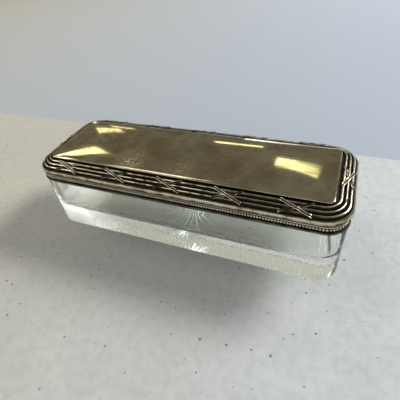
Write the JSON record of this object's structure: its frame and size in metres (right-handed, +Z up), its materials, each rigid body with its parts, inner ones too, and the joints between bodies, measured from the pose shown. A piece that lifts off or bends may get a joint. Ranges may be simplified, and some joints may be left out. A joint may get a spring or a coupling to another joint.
{
  "type": "lidded glass dressing-table box",
  "caption": "Long clear glass box with a beaded silver-plated collar and a hinged lid with a domed top panel, reeded border and crossed ribbon ties.",
  "frame": {"origin": "middle of the footprint, on the surface the box stands on", "axes": "+X along the length, to the right as the front is faced; -Y out of the front; +Z up"},
  "size_m": [0.2, 0.07, 0.0542],
  "materials": {
    "clear_glass": "clear, polished",
    "plaster": "matt plaster",
    "plated_collar": "tarnished silver plate",
    "plated_beads": "tarnished silver plate",
    "plated_hinge": "silver plate",
    "hinge_pin_metal": "drawn wire",
    "plated_moulding": "silver plate, worn bright",
    "plated_inside": "silver plate",
    "plated_border": "silver plate, dark in the grooves",
    "plated_panel": "polished silver plate, lightly scratched"
  },
  "bodies": {
    "base": {"glass_body": "clear_glass", "collar_cement": "plaster", "collar_band": "plated_collar", "collar_foot_moulding": "plated_collar", "collar_mouth_rim": "plated_collar", "collar_bead_wire": "plated_beads", "collar_hinge_bearer": "plated_collar", "collar_knuckle_left": "plated_hinge", "collar_knuckle_centre": "plated_hinge", "collar_knuckle_right": "plated_hinge", "hinge_pin": "hinge_pin_metal"},
    "lid": {"lid_rim_moulding": "plated_moulding", "lid_bezel": "plated_inside", "lid_border": "plated_border", "lid_panel": "plated_panel", "lid_knuckle_left": "plated_hinge", "lid_knuckle_right": "plated_hinge"}
  },
  "joints": [
    {"name": "lid_hinge", "type": "hinge", "parent": "base", "child": "lid", "pos_m": [0, 0.0338, 0.04335], "axis": [-1, 0, 0], "range_deg": [0, 100]}
  ]
}
